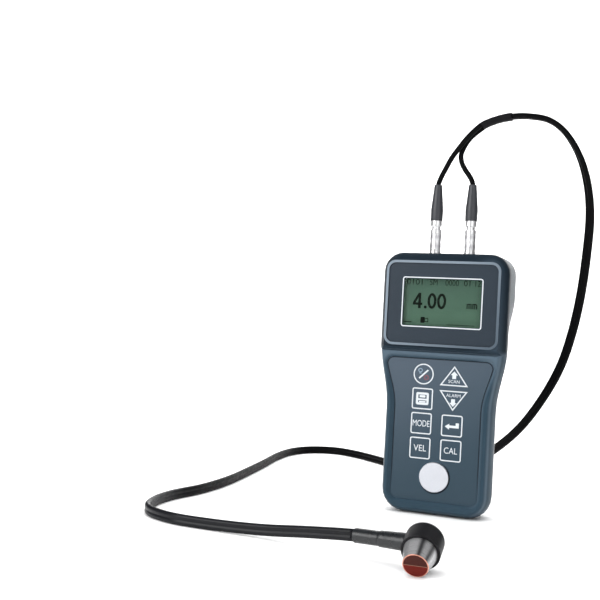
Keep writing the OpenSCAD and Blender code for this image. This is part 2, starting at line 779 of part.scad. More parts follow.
// Steel disc on which the probe is zeroed
module test_block() {
    d0 = film_d - block_proud;
    chamfer = block_proud / 2;
    color("whitesmoke")
        translate([0, at_depth(d0), block_z])
            rotate([-90, 0, 0])
                rotate_extrude()
                    polygon([[0, 0], [block_d / 2 - chamfer, 0], [block_d / 2, chamfer],
                        [block_d / 2, block_t], [0, block_t]]);
}

// Circuit board with its larger parts on the back of its head
module main_board() {
    back = board_d + board_t;
    chip = board_half / 3;
    color("darkgreen") {
        block_at(board_half, board_z0, board_head_z, board_d, back);
        block_at(frame_half_w, board_head_z, board_z1, board_d, back);
    }
    color("black") {
        block_at(chip, window_z - chip, window_z + chip, back, back + board_t);
        for (sx = [-1, 1])
            translate([sx * plug_spacing * 0.9, at_depth(back), window_z + chip])
                rotate([-90, 0, 0])
                    cylinder(h = 3 * board_t, r = chip / 2);
    }
}

// One cell standing on its flat end, as a revolved profile
module cell() {
    nub_r = cell_d * 0.19;
    nub_h = cell_len * 0.025;
    body_r = cell_d / 2;
    soft = cell_d * 0.05;
    rotate_extrude()
        polygon([[0, 0], [body_r - soft, 0], [body_r, soft], [body_r, cell_len - nub_h - soft],
            [body_r - soft, cell_len - nub_h], [nub_r, cell_len - nub_h], [nub_r, cell_len], [0, cell_len]]);
}

module battery_1() {
    color("goldenrod")
        translate([-cell_x, at_depth(cell_front_d + cell_d / 2), box_z0 + contact_t + spring_len])
            cell();
}

module battery_2() {
    color("goldenrod")
        translate([cell_x, at_depth(cell_front_d + cell_d / 2), box_z1 - contact_t - spring_len])
            rotate([180, 0, 0])
                cell();
}

// One contact spring, a conical coil that stands on its plate
module contact_spring() {
    turns = 3;
    per_turn = 8;
    steps = turns * per_turn;
    wide = cell_d * 0.32;
    narrow = cell_d * 0.2;
    rise = spring_len - spring_wire - 2 * seat;
    points = [for (k = [-1 : steps + 1])
        let (t = k / steps, r = wide + (narrow - wide) * t)
            [r * cos(360 * k / per_turn), r * sin(360 * k / per_turn), seat + spring_wire / 2 + rise * t]];
    loft([for (k = [1 : steps + 1])
        sweep_ring(points[k], unit(points[k + 1] - points[k - 1]), [0, 0, 1],
            spring_wire / 2, spring_wire / 2, 6)]);
}

// Contact plates and springs at both ends of the box
module battery_contacts() {
    d0 = cell_front_d + cell_d * 0.2;
    plate_d = cell_d * 0.6;
    half = cell_d * 0.35;
    mid_y = at_depth(cell_front_d + cell_d / 2);
    color("silver") {
        for (x = [-cell_x, cell_x])
            translate([x - half, at_depth(d0), box_z0])
                cube([2 * half, plate_d, contact_t]);
        translate([-cell_x - half, at_depth(d0), box_z1 - contact_t])
            cube([2 * (cell_x + half), plate_d, contact_t]);
        translate([-cell_x, mid_y, box_z0 + contact_t])
            contact_spring();
        translate([cell_x, mid_y, box_z1 - contact_t])
            rotate([180, 0, 0])
                contact_spring();
    }
}

// Coaxial socket, through the top wall
module socket(x) {
    foot = case_h - socket_len;
    color("silver")
        translate([x, at_depth(plug_depth), 0])
            rotate_extrude()
                polygon([[0, foot], [socket_d / 2, foot], [socket_d / 2, case_h], [collar_d / 2, case_h],
                    [collar_d / 2, case_h + collar_h], [bore_r, case_h + collar_h],
                    [bore_r, plug_nose_z - seat], [0, plug_nose_z - seat]]);
}

module socket_left() { socket(plug_places[0]); }
module socket_right() { socket(plug_places[1]); }

// Nuts that hold the sockets from inside
module socket_nuts() {
    color("silver")
        for (x = plug_places)
            translate([x, at_depth(plug_depth), case_h - wall_t - nut_t])
                difference() {
                    cylinder(h = nut_t, r = nut_w / sqrt(3), $fn = 6);
                    translate([0, 0, -over])
                        cylinder(h = nut_t + 2 * over, r = socket_d / 2 + seat / 3);
                }
}

// Plug: nose in the socket, collet ring above the release sleeve, tail in the strain relief
module plug(x) {
    color("silver")
        translate([x, at_depth(plug_depth), 0])
            rotate_extrude()
                polygon([[0, plug_nose_z], [plug_d / 2, plug_nose_z], [plug_d / 2, collet_z0],
                    [sleeve_d / 2 - seat, collet_z0], [sleeve_d / 2, collet_z0 + seat],
                    [sleeve_d / 2, boot_z0], [plug_d / 2, boot_z0], [plug_d / 2, boot_z0 + plug_tail],
                    [0, boot_z0 + plug_tail]]);
}

module plug_left() { plug(plug_places[0]); }
module plug_right() { plug(plug_places[1]); }

// Release sleeve with its two knurled bands, pulled up to unlatch
module release_sleeve(x) {
    r = sleeve_d / 2;
    band = sleeve_len * 0.3;
    low = sleeve_z0 + sleeve_len * 0.06;
    high = neck_z0 - sleeve_len * 0.22;
    color("silver")
        translate([x, at_depth(plug_depth), 0])
            rotate_extrude()
                polygon([[bore_r, sleeve_z0], [r - seat, sleeve_z0], [r - seat, low], [r, low],
                    [r, low + band], [r - seat, low + band], [r - seat, high - band],
                    [r, high - band], [r, high], [r - seat, high], [r - seat, high + seat],
                    [r, high + 2 * seat], [r, neck_z0 - seat],
                    [r - seat, neck_z0], [bore_r, neck_z0]]);
}

module release_sleeve_left() { release_sleeve(plug_places[0]); }
module release_sleeve_right() { release_sleeve(plug_places[1]); }

// Tapered strain relief above a plug
module boot(x) {
    tail = plug_d / 2 + seat / 3;
    shoulder = boot_z0 + boot_len * 0.3;
    color([0.07, 0.07, 0.08])
        translate([x, at_depth(plug_depth), 0])
            rotate_extrude()
                polygon([[tail, boot_z0], [boot_d / 2, boot_z0], [boot_d / 2 + seat, shoulder - seat],
                    [boot_d / 2 + seat, shoulder + seat], [boot_tip_d / 2 + seat, boot_z1 - seat],
                    [boot_tip_d / 2, boot_z1], [0, boot_z1], [0, boot_z0 + plug_tail + seat],
                    [tail, boot_z0 + plug_tail + seat]]);
}

module boot_left() { boot(plug_places[0]); }
module boot_right() { boot(plug_places[1]); }

// Unit vector, and a point and its direction on the smooth curve through a list of points
function unit(v) = v / norm(v);
function curve(p, i, u) = 0.5 * (2 * p[i] + (p[i + 1] - p[i - 1]) * u
    + (2 * p[i - 1] - 5 * p[i] + 4 * p[i + 1] - p[i + 2]) * u * u
    + (3 * p[i] - p[i - 1] - 3 * p[i + 1] + p[i + 2]) * u * u * u);
function heading(p, i, u) = unit((p[i + 1] - p[i - 1])
    + 2 * (2 * p[i - 1] - 5 * p[i] + 4 * p[i + 1] - p[i + 2]) * u
    + 3 * (3 * p[i] - p[i - 1] - 3 * p[i + 1] + p[i + 2]) * u * u);

// Ring of a swept section: wide along the side direction, thin across it
function sweep_ring(place, dir, side, wide, thin, n) =
    let (e1 = unit(side - dir * (side * dir)), e2 = cross(dir, e1))
        [for (i = [0 : n - 1]) place + e1 * wide * cos(-360 * i / n) + e2 * thin * sin(-360 * i / n)];

// Direction of the lead's wide side at a point of its route
function lead_side(s) = let (t = ease((s - turn_from) / (turn_to - turn_from))) [-sin(180 * t), 1 - t, t];

// Rings of the lead between two points of its route
function lead_rings(from, to, wide, thin, per) = [for (i = [from : to], k = [0 : per - 1])
    if (i < to || k == 0)
        let (j = i < to ? i : to - 1, u = i < to ? k / per : 1)
            sweep_ring(curve(lead_route, j, u), heading(lead_route, j, u), lead_side(j + u), wide, thin, 8)];

// A single lead from its strain relief to the shrunk sleeve
module coax(x, route, offset) {
    start = [x, at_depth(plug_depth), boot_z1];
    ahead = heading(lead_route, shrink_from, 0);
    end = lead_route[shrink_from] + offset - ahead * (offset * ahead + seat / 3);
    before = start - [0, 0, boot_d];
    after = end + ahead * norm(end - route[len(route) - 1]);
    p = concat([before, start], route, [end, after]);
    last = len(p) - 2;
    color([0.06, 0.06, 0.07])
        loft([for (i = [1 : last]) let (j = i < last ? i : last - 1, u = i < last ? 0 : 1,
                dir = i == 1 ? [0, 0, 1] : i == last ? ahead : heading(p, j, u))
            sweep_ring(p[i], dir, [0, 1, 0], coax_d / 2, coax_d / 2, 8)]);
}

module coax_left() { coax(plug_places[0], left_route, -pair_offset); }
module coax_right() { coax(plug_places[1], right_route, pair_offset); }

// Shrunk sleeve where the two single leads become one
module lead_sleeve() {
    color([0.05, 0.05, 0.05])
        loft(lead_rings(shrink_from, shrink_to, shrink_w / 2, shrink_t / 2, 2));
}

// Twin lead from the shrunk sleeve to the probe's strain relief
module twin_cable() {
    last = len(lead_route) - 2;
    boot_dir = unit(cap_exit - lead_route[last]);
    body = lead_rings(shrink_to, last, twin_w / 2, twin_t / 2, 2);
    color([0.06, 0.06, 0.07])
        loft([for (k = [0 : len(body) - 1]) k < len(body) - 1 ? body[k]
            : sweep_ring(lead_route[last], boot_dir, [0, 0, 1], twin_w / 2, twin_t / 2, 8)]);
}

// Outline of the probe's strain relief along its own axis, counted back from the lead's end
module boot_profile(root) {
    groove = tail_len + 2 * seat;
    polygon([[0, 0], [tail_r - 2 * seat, 0], [tail_r, 2 * seat], [tail_r, tail_len],
        [tail_r - seat, tail_len], [tail_r - seat, groove], [step_r, groove], [root_r, root], [0, root]]);
}

// Children on the axis of the probe's strain relief, from the lead's end towards the cap
module on_boot_axis() {
    end = lead_route[len(lead_route) - 2];
    along(end, cap_exit - end)
        children();
}

// Length of the strain relief: it is seated in the cap's side
boot_reach = norm(cap_exit - lead_route[len(lead_route) - 2]) - cap_r + root_r * 0.6;

// Children on the probe's axis, from the wear face towards the rear
module on_probe_axis() {
    along(probe_nose, -probe_axis)
        children();
}

module probe_boot() {
    color([0.10, 0.10, 0.11])
        on_boot_axis()
            rotate_extrude()
                boot_profile(boot_reach);
}

// Moulded cap over the rear of the probe
module probe_cap() {
    mid = nose_len + cap_len - cap_round;
    lip = case_r + seat / 3;
    hole = case_r - rim_w + seat / 3;
    color([0.09, 0.09, 0.10])
        difference() {
            on_probe_axis()
                rotate_extrude() {
                    polygon([[0, nose_len + stem_len + seat], [hole, nose_len + stem_len + seat],
                        [hole, nose_len + seat], [lip, nose_len + seat], [lip, nose_len - seat],
                        [cap_r - seat, nose_len - seat], [cap_r, nose_len], [cap_r, mid],
                        [cap_r - cap_round, mid + cap_round], [0, mid + cap_round]]);
                    translate([cap_r - cap_round, mid])
                        circle(cap_round);
                }
            on_boot_axis()
                cylinder(h = boot_reach + seat, r = root_r + seat / 3);
        }
}

// Turned steel nose
module probe_case() {
    inner = nose_r - nose_rim;
    color("lightgray")
        on_probe_axis()
            rotate_extrude()
                polygon([[inner, 0], [nose_r - seat, 0], [nose_r, seat], [case_r, nose_len - seat],
                    [case_r, nose_len], [case_r - rim_w, nose_len], [case_r - rim_w, nose_len + stem_len],
                    [0, nose_len + stem_len], [0, nose_len + seat], [inner, nose_len + seat]]);
}

// Half-round block between two places on the probe's axis, on one side of the barrier
module half_round(side, s0, s1, r) {
    on_probe_axis()
        intersection() {
            translate([0, 0, s0])
                cylinder(h = s1 - s0, r = r);
            translate([side > 0 ? barrier_t / 2 : -barrier_t / 2 - 2 * r, -2 * r, s0 - over])
                cube([2 * r, 4 * r, s1 - s0 + 2 * over]);
        }
}

module delay_block_upper() {
    color("firebrick")
        half_round(-1, 0, delay_len, delay_r);
}

module delay_block_lower() {
    color("firebrick")
        half_round(1, 0, delay_len, delay_r);
}

// Thin wall between the two halves
module acoustic_barrier() {
    half = delay_r * 0.98;
    color("rosybrown")
        on_probe_axis()
            translate([-barrier_t / 2, -half, 0])
                cube([barrier_t, 2 * half, delay_len + crystal_t]);
}

// The two half-round elements behind the delay blocks
module crystals() {
    color("tan")
        for (side = [-1, 1])
            half_round(side, delay_len, delay_len + crystal_t, delay_r * 0.9);
}

front_shell();
rear_shell();
battery_door();
case_screws();
display_overlay();
display_window();
lcd_glass();
lcd_frame();
keypad_overlay();
key_power();
key_up();
key_save();
key_down();
key_mode();
key_enter();
key_velocity();
key_calibrate();
key_domes();
test_block();
main_board();
battery_1();
battery_2();
battery_contacts();
socket_left();
socket_right();
socket_nuts();
plug_left();
plug_right();
release_sleeve_left();
release_sleeve_right();
boot_left();
boot_right();
coax_left();
coax_right();
lead_sleeve();
twin_cable();
probe_boot();
probe_cap();
probe_case();
delay_block_upper();
delay_block_lower();
acoustic_barrier();
crystals();
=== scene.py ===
import math

import bmesh
import bpy
from mathutils import Matrix, Vector


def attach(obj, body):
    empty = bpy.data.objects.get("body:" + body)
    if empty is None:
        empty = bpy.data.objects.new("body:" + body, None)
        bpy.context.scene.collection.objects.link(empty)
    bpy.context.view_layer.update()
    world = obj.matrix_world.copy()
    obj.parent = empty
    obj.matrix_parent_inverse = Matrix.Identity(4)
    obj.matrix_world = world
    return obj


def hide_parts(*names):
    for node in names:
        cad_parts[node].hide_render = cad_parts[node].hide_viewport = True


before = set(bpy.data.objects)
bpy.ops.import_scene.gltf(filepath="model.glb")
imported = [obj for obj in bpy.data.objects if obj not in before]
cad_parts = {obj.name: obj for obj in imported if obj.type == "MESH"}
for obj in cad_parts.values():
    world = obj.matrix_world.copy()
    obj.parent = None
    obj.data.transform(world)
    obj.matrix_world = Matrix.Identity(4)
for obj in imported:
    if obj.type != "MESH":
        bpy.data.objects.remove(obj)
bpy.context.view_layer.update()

# Camera and studio
# The camera stands to the right of the gauge, level with the lower edge of its display, as in the photograph.
# A pale seamless sheet is floor and background, and four soft boxes light it from above, behind and in front.
# Two dark cards, seen only in reflections, draw the dark edges of the bright metal.
scene = bpy.context.scene
scene.view_settings.view_transform = "Standard"
camera = bpy.data.objects.new("camera", bpy.data.cameras.new("camera"))
scene.collection.objects.link(camera)
scene.camera = camera
camera.data.lens = 60
camera.data.sensor_width = 36
camera.data.clip_start = 0.01
camera.data.dof.use_dof = False
camera_place = Vector((0.1434, -0.5677, 0.1028))
camera_axes = Matrix(((0.92230, 0.38255, 0.05493), (-0.04068, -0.04525, 0.99815), (0.38432, -0.92283, -0.02618)))
camera.matrix_world = Matrix.Translation(camera_place) @ camera_axes.transposed().to_4x4()
mm = 0.001


class Tex:
    """A shader value: arithmetic adds Math nodes, and node() adds any other node."""

    def __init__(self, tree, socket=None):
        self.tree = tree
        self.socket = socket

    def node(self, kind, inputs, out=0, **settings):
        made = self.tree.nodes.new("ShaderNode" + kind)
        for key, value in settings.items():
            setattr(made, key, value)
        for key, value in inputs.items():
            if isinstance(value, Tex):
                self.tree.links.new(value.socket, made.inputs[key])
            else:
                made.inputs[key].default_value = value
        return Tex(self.tree, made.outputs[out])

    def __add__(self, other):
        return self.node("Math", {0: self, 1: other}, operation="ADD")

    def __sub__(self, other):
        return self.node("Math", {0: self, 1: other}, operation="SUBTRACT")

    def __rsub__(self, other):
        return self.node("Math", {0: other, 1: self}, operation="SUBTRACT")

    def __mul__(self, other):
        return self.node("Math", {0: self, 1: other}, operation="MULTIPLY")

    def __lt__(self, other):
        return self.node("Math", {0: self, 1: other}, operation="LESS_THAN")

    def __gt__(self, other):
        return self.node("Math", {0: self, 1: other}, operation="GREATER_THAN")

    __radd__ = __add__
    __rmul__ = __mul__


def paint(code):
    """Linear colour of a hexadecimal screen colour."""
    shares = [int(code[k:k + 2], 16) / 255 for k in (0, 2, 4)]
    return (*[s / 12.92 if s <= 0.04045 else ((s + 0.055) / 1.055) ** 2.4 for s in shares], 1)


def material(name, **uniform):
    """A Principled material with its uniform sockets set, and its Object coordinates in millimetres."""
    made = bpy.data.materials.new(name)
    made.use_nodes = True
    shader = made.node_tree.nodes["Principled BSDF"]
    for key, value in uniform.items():
        shader.inputs[key.replace("_", " ")].default_value = value
    tree = Tex(made.node_tree)
    metres = tree.node("TexCoord", {}, out="Object")
    return made, tree.node("VectorMath", {0: metres, 3: 1000}, operation="SCALE")


def noise(place, scale, detail=2, stretch=(1, 1, 1)):
    """Noise with features about 1 / scale millimetres wide, stretched along the axes."""
    if stretch != (1, 1, 1):
        place = place.node("VectorMath", {0: place, 1: stretch}, operation="MULTIPLY")
    return place.node("TexNoise", {"Vector": place, "Scale": scale, "Detail": detail})


def mix(share, a, b):
    """Two colours, mixed by a share."""
    return share.node("Mix", {0: share, 6: a, 7: b}, out=2, data_type="RGBA")


def wire(made, height=None, depth=0.01, **varying):
    """Links varying values to the shader, and a height map in millimetres to its normal."""
    tree = made.node_tree
    shader = tree.nodes["Principled BSDF"]
    for key, value in varying.items():
        tree.links.new(value.socket, shader.inputs[key.replace("_", " ")])
    if height is not None:
        bump = height.node("Bump", {"Height": height, "Distance": depth * mm, "Strength": 1.0})
        tree.links.new(bump.socket, shader.inputs["Normal"])


def piece(name, bm, finish, body="gauge", smooth=True):
    """A new object from a bmesh, with its normals out, its material, and the body that carries it."""
    bmesh.ops.recalc_face_normals(bm, faces=bm.faces)
    mesh = bpy.data.meshes.new(name)
    bm.to_mesh(mesh)
    bm.free()
    made = bpy.data.objects.new(name, mesh)
    scene.collection.objects.link(made)
    mesh.polygons.foreach_set("use_smooth", [smooth] * len(mesh.polygons))
    mesh.materials.append(finish)
    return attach(made, body) if body else made


sheet_paint, spot = material("pale_sheet", Roughness=0.9, IOR=1.3)
speck = noise(spot, 0.02)
wire(sheet_paint, Base_Color=mix(speck, paint("f4f4f4"), paint("f8f8f8")))
sheet_reach, sheet_top = 3.0, 4.0
bend_start, bend_r, bend_steps = 1.2, 0.8, 12
bm = bmesh.new()
profile = [bm.verts.new((-sheet_reach, -sheet_reach, 0)), bm.verts.new((-sheet_reach, bend_start, 0))]
for k in range(1, bend_steps + 1):
    a = math.radians(90 * k / bend_steps)
    profile.append(bm.verts.new((-sheet_reach, bend_start + bend_r * math.sin(a), bend_r - bend_r * math.cos(a))))
profile.append(bm.verts.new((-sheet_reach, bend_start + bend_r, sheet_top)))
edges = [bm.edges.new(profile[k:k + 2]) for k in range(len(profile) - 1)]
swept = bmesh.ops.extrude_edge_only(bm, edges=edges)["geom"]
bmesh.ops.translate(bm, vec=(2 * sheet_reach, 0, 0), verts=[v for v in swept if isinstance(v, bmesh.types.BMVert)])
piece("seamless_sheet", bm, sheet_paint, body=None)

card_paint, spot = material("dark_card", Roughness=0.9, IOR=1.3)
wire(card_paint, Base_Color=mix(noise(spot, 0.02), paint("101010"), paint("181818")))
view_heading = 22.6
card_away, card_middle, card_height = 0.6, 0.19, 0.34
for side, turn, width in (("left", 48, 0.4), ("right", -64, 0.36)):
    bm = bmesh.new()
    bmesh.ops.create_grid(bm, x_segments=1, y_segments=1, size=0.5)
    upright = Matrix.Rotation(math.radians(90), 4, "X") @ Matrix.Diagonal((width, card_height, 1, 1))
    swing = Matrix.Rotation(math.radians(view_heading + turn), 4, "Z")
    bmesh.ops.transform(bm, matrix=swing @ Matrix.Translation((0, card_away, card_middle)) @ upright, verts=bm.verts)
    card = piece(f"dark_card_{side}", bm, card_paint, body=None)
    card.visible_camera = card.visible_diffuse = card.visible_shadow = card.visible_transmission = False

surround = bpy.data.worlds.new("surround")
surround.use_nodes = True
backing = surround.node_tree.nodes["Background"]
backing.inputs["Color"].default_value = (1, 1, 1, 1)
backing.inputs["Strength"].default_value = 0.16
scene.world = surround
for name, place, aim, size, power, mirrored in (
        ("soft_box_above", (0.0, 0.1, 1.5), (0, 0.1, 0), (2.4, 2.4), 46, False),
        ("soft_box_front", (-0.75, -1.1, 0.62), (0, 0, 0.08), (0.9, 0.9), 14, True),
        ("soft_box_right", (0.85, -0.9, 0.5), (0, 0, 0.14), (1.0, 0.8), 4, True),
        ("soft_box_back", (-0.8, 0.8, 1.3), (-0.8, 1.9, 0.4), (3.4, 0.8), 44, False)):
    lamp = bpy.data.lights.new(name, "AREA")
    lamp.shape = "RECTANGLE"
    lamp.size, lamp.size_y = size
    lamp.energy = power
    holder = bpy.data.objects.new(name, lamp)
    scene.collection.objects.link(holder)
    holder.visible_glossy = mirrored
    facing = (Vector(aim) - Vector(place)).to_track_quat("-Z", "Y")
    holder.matrix_world = Matrix.Translation(place) @ facing.to_matrix().to_4x4()

# Lead
# Two single leads in black vinyl leave the strain reliefs, enter a shrunk sleeve, and go on as a moulded twin lead.
# It arches over to the right, lands behind the gauge, loops round on the left and ends at the probe.
twin_w, twin_t = 5.8, 3.2
single_r = 1.5
plug_x, plug_y = 10.25, 3.0
route = [Vector(p) * mm for p in (
    (8.2, 3, 219.2), (14.2, 3, 224.4), (22, 3, 227.6), (31, 3, 229.3), (41, 3.5, 229.3), (52, 5, 227), (61, 8, 220),
    (68.5, 12, 207.5), (73, 17, 192), (74.5, 22, 174.5), (73, 28, 153.5), (70, 34, 130), (65.5, 40, 108.5),
    (59, 46, 88), (48.5, 54, 68), (33.5, 66, 47.5), (15, 82, 30.5), (-6, 101, 16.5), (-29, 121, 8.4),
    (-53, 140, 4.6), (-77, 160, 3.2), (-101, 181, 3), (-120, 195, 3), (-139, 202, 3), (-156, 192, 3),
    (-163, 168, 3), (-160, 132, 3), (-152, 92, 3), (-144, 48, 3), (-137, 4, 3), (-135, -34, 3), (-138, -66, 3),
    (-135, -92, 3), (-125, -112, 3), (-105, -123, 3), (-80, -125, 3.1), (-54, -126, 4.1), (-28, -130.5, 7.1),
    (-3, -136, 9.8), (22, -142, 11.2))]
sleeve_from, sleeve_to, twin_end = 1, 3, 38
turn_from, turn_to = 4, 16
span_steps, sleeve_steps = 8, 12
single_routes = {
    "left": (-1, ((-8.6, 2.9, 195), (-6.0, 2.5, 200), (-3.0, 2.0, 205.5), (0.9, 1.75, 211), (6.6, 1.6, 218.2))),
    "right": (1, ((8.4, 3.2, 194.6), (5.2, 3.7, 199), (2.6, 4.2, 204), (2.4, 4.4, 209.4), (6.6, 4.4, 217.2)))}
pair_offset = Vector((0.5, 1.5, -0.4)) * mm
boot_top = 190.05 * mm
boot_cover = 6.9 * mm
sleeve_gap = 0.05 * mm
cap_exit = Vector((30.7589, -143.4595, 11.5116)) * mm


def curve(p, i, u):
    """Point of the smooth curve through the points, after point i."""
    return 0.5 * (2 * p[i] + (p[i + 1] - p[i - 1]) * u
                  + (2 * p[i - 1] - 5 * p[i] + 4 * p[i + 1] - p[i + 2]) * u ** 2
                  + (3 * p[i] - p[i - 1] - 3 * p[i + 1] + p[i + 2]) * u ** 3)


def heading(p, i, u):
    """Direction of that curve."""
    return ((p[i + 1] - p[i - 1]) + 2 * (2 * p[i - 1] - 5 * p[i] + 4 * p[i + 1] - p[i + 2]) * u
            + 3 * (3 * p[i] - p[i - 1] - 3 * p[i + 1] + p[i + 2]) * u ** 2).normalized()


def station(place, ahead, side):
    """Frame of a section on a path: x along its wide side, y across it."""
    x = (side - ahead * side.dot(ahead)).normalized()
    y = ahead.cross(x).normalized()
    return Matrix.Translation(place) @ Matrix((x, y, ahead)).transposed().to_4x4()


def tube(section, stations):
    """Closed tube: the section is drawn in the first station and extruded from station to station."""
    bm = bmesh.new()
    ring = [bm.verts.new(stations[0] @ Vector((x, y, 0))) for x, y in section]
    edges = [bm.edges.new((ring[k - 1], ring[k])) for k in range(len(ring))]
    bmesh.ops.edgeloop_fill(bm, edges=edges)
    for here, there in zip(stations, stations[1:]):
        moved = bmesh.ops.extrude_edge_only(bm, edges=edges)["geom"]
        edges = [e for e in moved if isinstance(e, bmesh.types.BMEdge)]
        verts = [v for v in moved if isinstance(v, bmesh.types.BMVert)]
        bmesh.ops.transform(bm, matrix=there @ here.inverted(), verts=verts)
    bmesh.ops.edgeloop_fill(bm, edges=edges)
    return bm


def lead_stations(first, last, per):
    """Stations of the lead between two route points: its wide side lies flat in the arch and stands up on the floor."""
    made = []
    for i in range(first, last):
        for k in range(per + (i == last - 1)):
            turn = min(1, max(0, (i + k / per - turn_from) / (turn_to - turn_from)))
            turn = (1 - math.cos(math.pi * turn)) / 2
            side = Vector((-math.sin(math.pi * turn), 1 - turn, turn))
            made.append(station(curve(route, i, k / per), heading(route, i, k / per), side))
    return made


def oval_section(x_radius, y_radius, step):
    """Oval section of a tube, from radii in millimetres, with a point every few degrees."""
    turns = [math.radians(d) for d in range(0, 360, step)]
    return [(x_radius * mm * math.cos(a), y_radius * mm * math.sin(a)) for a in turns]


def axis(place, name):
    """One coordinate of a place."""
    return place.node("SeparateXYZ", {0: place}, out=name)


def ramp(value, low, high, start=0.0, end=1.0):
    """The value's range from low to high, mapped smoothly from start to end."""
    return value.node("MapRange", {0: value, 1: low, 2: high, 3: start, 4: end}, interpolation_type="SMOOTHSTEP")


def spread(grain, start, end):
    """A noise value, which lies mostly between 0.3 and 0.7, mapped smoothly from start to end."""
    return ramp(grain, 0.3, 0.7, start, end)


vinyl, spot = material("black_vinyl", IOR=1.5, Specular_IOR_Level=0.05, Coat_Roughness=0.22)
scuff = noise(spot, 0.35, 3)
# Painted sheen: towards the front the lead's colour turns lighter and its coat stronger, for the highlights the front
# run catches; the scuff noise only varies the tone.
painted_front_sheen = ramp(axis(spot, "Y"), -20, -110)
wire(vinyl, Base_Color=mix(painted_front_sheen * (scuff + 0.3), paint("070708"), paint("15161a")),
     Coat_Weight=painted_front_sheen * 0.25, Roughness=spread(scuff, 0.4, 0.55), height=noise(spot, 6, 2), depth=0.01)
lobe_r = twin_t / 2
lobe_turns = [math.radians(d) for d in range(-126, 127, 21)]
lobe = [(twin_w / 2 - lobe_r + lobe_r * math.cos(a), lobe_r * math.sin(a)) for a in lobe_turns]
half_section = [(0, -0.7 * lobe_r), *lobe]
figure_eight = [(x * mm, z * mm) for x, z in half_section + [(-x, -z) for x, z in half_section]]
stations = lead_stations(sleeve_to, twin_end, span_steps)
stations[-1] = station(route[twin_end], (cap_exit - route[twin_end]).normalized(), Vector((0, 0, 1)))
twin = piece("twin_lead", tube(figure_eight, stations), vinyl)
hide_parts("twin_cable")

shrink, spot = material("shrunk_sleeve", IOR=1.5, Specular_IOR_Level=0.08)
wrinkle = noise(spot, 0.5, 3)
wire(shrink, Base_Color=mix(wrinkle, paint("0c0c0e"), paint("161619")), Roughness=spread(wrinkle, 0.42, 0.6),
     height=wrinkle, depth=0.12)
stations = lead_stations(sleeve_from, sleeve_to, sleeve_steps)
for k, s in enumerate(stations):
    t = k / (len(stations) - 1)
    squeeze = 1 - 0.02 * math.sin(math.pi * t) * (2 + math.sin(9 * math.pi * t))
    stations[k] = s @ Matrix.Diagonal((squeeze, squeeze, 1, 1))
sleeve = piece("shrunk_sleeve", tube(oval_section(3.4, 2.4, 15), stations), shrink)
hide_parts("lead_sleeve")


for side, (hand, points) in single_routes.items():
    ahead = heading(route, sleeve_from, 0)
    offset = pair_offset * hand
    start = Vector((hand * plug_x * mm, plug_y * mm, boot_top))
    end = route[sleeve_from] + offset - ahead * (offset.dot(ahead) + sleeve_gap)
    path = [start, *[Vector(p) * mm for p in points], end]
    path = [start - Vector((0, 0, boot_cover)), *path, end + ahead * (end - path[-2]).length]
    steps = [(i, k / span_steps) for i in range(1, len(path) - 2) for k in range(span_steps)]
    stations = [station(curve(path, i, u), heading(path, i, u), Vector((0, 1, 0))) for i, u in steps]
    stations.append(station(end, ahead, Vector((0, 1, 0))))
    single = piece(f"single_lead_{side}", tube(oval_section(single_r, single_r, 18), stations), vinyl)
    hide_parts(f"coax_{side}")

# Sockets, plugs and strain reliefs
# Each push-pull plug is turned brass, nickel-plated, and its knurled release sleeve is pulled up to unlatch it.
# A socket's collar stands on the top end, and a tapered rubber boot holds the single lead above the plug.


def shade_group():
    """Geometry nodes that drop stored normals, shade smooth, and keep edges sharp beyond an angle."""
    group = bpy.data.node_groups.new("smooth_by_angle", "GeometryNodeTree")
    group.interface.new_socket("Geometry", in_out="INPUT", socket_type="NodeSocketGeometry")
    group.interface.new_socket("Angle", in_out="INPUT", socket_type="NodeSocketFloat")
    group.interface.new_socket("Geometry", in_out="OUTPUT", socket_type="NodeSocketGeometry")
    start = group.nodes.new("NodeGroupInput")
    bare = group.nodes.new("GeometryNodeRemoveAttribute")
    bare.inputs["Name"].default_value = "custom_normal"
    faces = group.nodes.new("GeometryNodeSetShadeSmooth")
    angle = group.nodes.new("GeometryNodeInputMeshEdgeAngle")
    under = group.nodes.new("FunctionNodeCompare")
    under.operation = "LESS_THAN"
    edges = group.nodes.new("GeometryNodeSetShadeSmooth")
    edges.domain = "EDGE"
    end = group.nodes.new("NodeGroupOutput")
    for a, b in (
            (start.outputs["Geometry"], bare.inputs["Geometry"]),
            (bare.outputs["Geometry"], faces.inputs["Geometry"]),
            (faces.outputs["Geometry"], edges.inputs["Geometry"]),
            (angle.outputs["Unsigned Angle"], under.inputs["A"]),
            (start.outputs["Angle"], under.inputs["B"]),
            (under.outputs["Result"], edges.inputs["Shade Smooth"]),
            (edges.outputs["Geometry"], end.inputs["Geometry"])):
        group.links.new(a, b)
    return group


smooth_by_angle = shade_group()
weld_gap = 0.002 * mm


def keep(name, finish, angle=35, bevel=0.0):
    """Keeps a CAD node with a finish, welded, with its edges eased and its round faces shaded smooth."""
    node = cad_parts[name]
    node.data.materials.clear()
    node.data.materials.append(finish)
    weld = node.modifiers.new("weld", "WELD")
    weld.merge_threshold = weld_gap
    if bevel:
        ease = node.modifiers.new("ease", "BEVEL")
        ease.width = bevel * mm
        ease.segments = 2
        ease.limit_method = "ANGLE"
        ease.angle_limit = math.radians(angle)
    shade = node.modifiers.new("shade", "NODES")
    shade.node_group = smooth_by_angle
    shade[smooth_by_angle.interface.items_tree["Angle"].identifier] = math.radians(angle)
    node.modifiers.new("flat_faces", "WEIGHTED_NORMAL").keep_sharp = True
    return node


